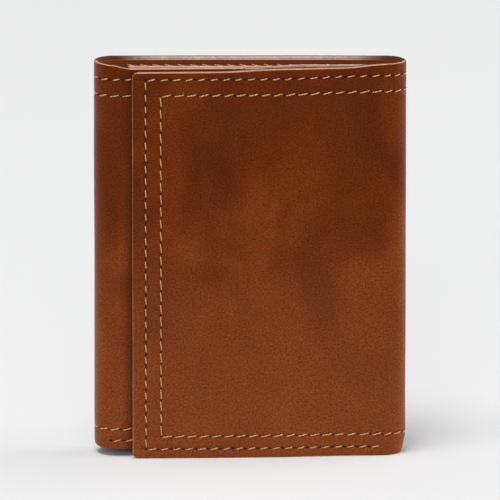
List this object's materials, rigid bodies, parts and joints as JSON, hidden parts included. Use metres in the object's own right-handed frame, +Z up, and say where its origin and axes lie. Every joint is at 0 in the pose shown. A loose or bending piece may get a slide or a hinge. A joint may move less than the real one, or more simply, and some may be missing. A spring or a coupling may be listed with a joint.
{
  "type": "trifold wallet",
  "caption": "Closed leather trifold wallet standing upright, with a front flap, a tucked left panel, a bill compartment, card slots and a clear card window.",
  "frame": {"origin": "middle of the bounding box at the bottom edges that the closed wallet stands on", "axes": "+Z up along the panels' long side, +X to the right with the front flap facing the viewer, +Y from the front flap to the back panel, through the thickness"},
  "size_m": [0.0844, 0.0132, 0.1095],
  "materials": {
    "shell_leather": "smooth satin reddish brown leather with a faint mottle and a soft sheen",
    "pocket_leather": "thin satin brown pocket leather",
    "lining": "dark brown woven lining",
    "clear_film": "clear flexible window film"
  },
  "bodies": {
    "middle_panel": {"back_panel_leather": "shell_leather", "back_panel_lining": "lining", "bill_pocket_seam": "pocket_leather", "bill_divider": "pocket_leather", "middle_slip_pocket": "pocket_leather", "id_window_film": "clear_film", "id_window_frame": "pocket_leather"},
    "right_fold_strip_1": {"right_fold_leather_1": "shell_leather", "right_fold_lining_1": "lining"},
    "right_fold_strip_2": {"right_fold_leather_2": "shell_leather", "right_fold_lining_2": "lining"},
    "right_fold_strip_3": {"right_fold_leather_3": "shell_leather", "right_fold_lining_3": "lining"},
    "front_flap": {"flap_leather": "shell_leather", "flap_lining": "lining", "card_slot_upper": "pocket_leather", "card_slot_middle": "pocket_leather", "card_slot_lower": "pocket_leather", "flap_top_band": "pocket_leather"},
    "left_fold_strip_1": {"left_fold_leather_1": "shell_leather", "left_fold_lining_1": "lining"},
    "left_fold_strip_2": {"left_fold_leather_2": "shell_leather", "left_fold_lining_2": "lining"},
    "left_fold_strip_3": {"left_fold_leather_3": "shell_leather", "left_fold_lining_3": "lining"},
    "left_panel": {"left_panel_leather": "shell_leather", "left_panel_lining": "lining", "left_panel_pocket": "pocket_leather", "left_panel_top_band": "pocket_leather"}
  },
  "joints": [
    {"name": "right_fold_hinge_1", "type": "hinge", "parent": "middle_panel", "child": "right_fold_strip_1", "pos_m": [0.03891, 0.00656, 0.05475], "axis": [0, 0, 1], "range_deg": [0, 44.55]},
    {"name": "right_fold_hinge_2", "type": "hinge", "parent": "right_fold_strip_1", "child": "right_fold_strip_2", "pos_m": [0.04211, 0.0034, 0.05475], "axis": [0, 0, 1], "range_deg": [0, 44.55]},
    {"name": "right_fold_hinge_3", "type": "hinge", "parent": "right_fold_strip_2", "child": "right_fold_strip_3", "pos_m": [0.04218, -0.00109, 0.05475], "axis": [0, 0, 1], "range_deg": [0, 44.55]},
    {"name": "right_fold_hinge_4", "type": "hinge", "parent": "right_fold_strip_3", "child": "front_flap", "pos_m": [0.03908, -0.00435, 0.05475], "axis": [0, 0, 1], "range_deg": [0, 44.55]},
    {"name": "left_fold_hinge_1", "type": "hinge", "parent": "middle_panel", "child": "left_fold_strip_1", "pos_m": [-0.03904, 0.00656, 0.05475], "axis": [0, 0, -1], "range_deg": [0, 45.45]},
    {"name": "left_fold_hinge_2", "type": "hinge", "parent": "left_fold_strip_1", "child": "left_fold_strip_2", "pos_m": [-0.04218, 0.00337, 0.05475], "axis": [0, 0, -1], "range_deg": [0, 45.45]},
    {"name": "left_fold_hinge_3", "type": "hinge", "parent": "left_fold_strip_2", "child": "left_fold_strip_3", "pos_m": [-0.04211, -0.00111, 0.05475], "axis": [0, 0, -1], "range_deg": [0, 45.45]},
    {"name": "left_fold_hinge_4", "type": "hinge", "parent": "left_fold_strip_3", "child": "left_panel", "pos_m": [-0.03888, -0.0042, 0.05475], "axis": [0, 0, -1], "range_deg": [0, 45.45]}
  ],
  "couplings": [
    {"joint": "right_fold_hinge_2", "follows": "right_fold_hinge_1", "ratio": 1},
    {"joint": "right_fold_hinge_3", "follows": "right_fold_hinge_1", "ratio": 1},
    {"joint": "right_fold_hinge_4", "follows": "right_fold_hinge_1", "ratio": 1},
    {"joint": "left_fold_hinge_1", "follows": "right_fold_hinge_1", "ratio": 1.0202},
    {"joint": "left_fold_hinge_2", "follows": "right_fold_hinge_1", "ratio": 1.0202},
    {"joint": "left_fold_hinge_3", "follows": "right_fold_hinge_1", "ratio": 1.0202},
    {"joint": "left_fold_hinge_4", "follows": "right_fold_hinge_1", "ratio": 1.0202}
  ]
}
